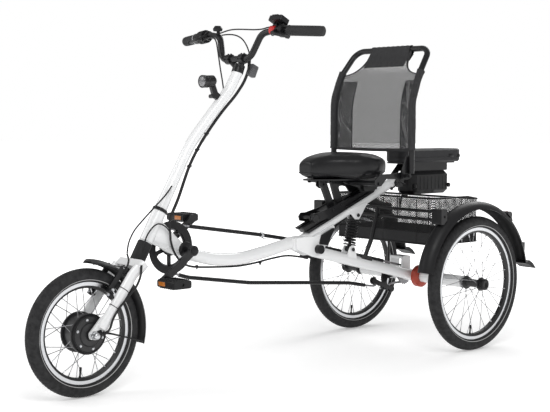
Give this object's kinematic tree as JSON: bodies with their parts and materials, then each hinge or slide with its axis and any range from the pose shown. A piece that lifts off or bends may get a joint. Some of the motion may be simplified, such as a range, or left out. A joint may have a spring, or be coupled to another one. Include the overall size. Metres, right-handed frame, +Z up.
{
  "type": "electric tricycle",
  "caption": "Semi-recumbent adult electric tricycle with a hub motor in the steered front wheel, a sprung rear axle, a mesh backrest, a rear basket and a flat battery.",
  "frame": {"origin": "on the ground under the middle of the vehicle's box", "axes": "+X forward, +Y to the rider's left, +Z up"},
  "size_m": [2.0473, 0.72, 1.1922],
  "materials": {
    "battery_case": "fine grained",
    "black_metal": "satin black paint",
    "black_plastic": "matt",
    "frame_white": "gloss white paint",
    "lamp": "gloss black housing, clear or red lens",
    "mesh": "open grey mesh",
    "pedal": "black body, orange reflectors",
    "red_metal": "red anodised",
    "rubber": "matt",
    "silver": "satin",
    "steel": "brushed",
    "tyre": "matt",
    "vinyl": "smooth black cover"
  },
  "bodies": {
    "frame": {"main_frame": "frame_white", "rear_arm": "frame_white", "pivot_fittings": "black_metal", "shock_absorber": "black_metal", "shock_spring": "black_metal", "rear_axle": "steel", "differential": "red_metal", "cassette": "steel", "derailleur": "black_metal", "chain": "steel", "chain_tubes": "black_plastic", "seat_rail": "black_metal", "battery": "battery_case", "battery_rack": "black_metal", "controller": "black_plastic", "basket": "mesh", "basket_rim": "black_metal", "rear_carrier": "black_metal", "fender_left": "black_plastic", "fender_right": "black_plastic", "tail_lights": "lamp", "frame_cables": "rubber"},
    "steering": {"fork": "frame_white", "steering_column": "frame_white", "handlebar": "black_metal", "stem": "black_metal", "grips": "rubber", "brake_levers": "black_metal", "bar_controls": "black_plastic", "headlight": "lamp", "front_brake": "black_metal", "front_fender": "black_plastic", "steering_cables": "rubber"},
    "front_wheel": {"front_hub": "black_metal", "front_tyre": "tyre", "front_rim": "silver"},
    "rear_left_wheel": {"rear_left_hub": "silver", "rear_left_tyre": "tyre", "rear_left_rim": "silver"},
    "rear_right_wheel": {"rear_right_hub": "silver", "rear_right_tyre": "tyre", "rear_right_rim": "silver"},
    "cranks": {"crankset": "black_metal", "chainring": "steel", "chain_guard": "black_plastic"},
    "pedal_left_body": {"pedal_left": "pedal"},
    "pedal_right_body": {"pedal_right": "pedal"},
    "seat": {"seat_carriage": "black_metal", "seat_bars": "black_metal", "seat_base": "black_metal", "saddle": "vinyl", "recline_arms": "black_metal"},
    "backrest": {"backrest_frame": "black_metal", "backrest_fabric": "mesh"}
  },
  "joints": [
    {"name": "steering_turn", "type": "hinge", "parent": "frame", "child": "steering", "pos_m": [0.85725, 0, 0], "axis": [-0.5, 0, 0.866], "range_deg": [-40, 40]},
    {"name": "front_wheel_spin", "type": "hinge", "parent": "steering", "child": "front_wheel", "pos_m": [0.82425, 0, 0.1995], "axis": [0, 1, 0], "continuous": true},
    {"name": "rear_left_wheel_spin", "type": "hinge", "parent": "frame", "child": "rear_left_wheel", "pos_m": [-0.68175, 0.309, 0.25], "axis": [0, 1, 0], "continuous": true},
    {"name": "rear_right_wheel_spin", "type": "hinge", "parent": "frame", "child": "rear_right_wheel", "pos_m": [-0.68175, -0.309, 0.25], "axis": [0, 1, 0], "continuous": true},
    {"name": "crank_spin", "type": "hinge", "parent": "frame", "child": "cranks", "pos_m": [0.45825, 0, 0.433], "axis": [0, 1, 0], "continuous": true},
    {"name": "pedal_left_spin", "type": "hinge", "parent": "cranks", "child": "pedal_left_body", "pos_m": [0.57883, 0.137, 0.34378], "axis": [0, 1, 0], "continuous": true},
    {"name": "pedal_right_spin", "type": "hinge", "parent": "cranks", "child": "pedal_right_body", "pos_m": [0.33767, -0.137, 0.52222], "axis": [0, 1, 0], "continuous": true},
    {"name": "seat_slide", "type": "slide", "parent": "frame", "child": "seat", "axis": [0.9277, 0, -0.3733], "range_m": [0, 0.09]},
    {"name": "backrest_recline", "type": "hinge", "parent": "seat", "child": "backrest", "pos_m": [-0.42675, 0, 0.652], "axis": [0, 1, 0], "range_deg": [-15, 10]}
  ]
}
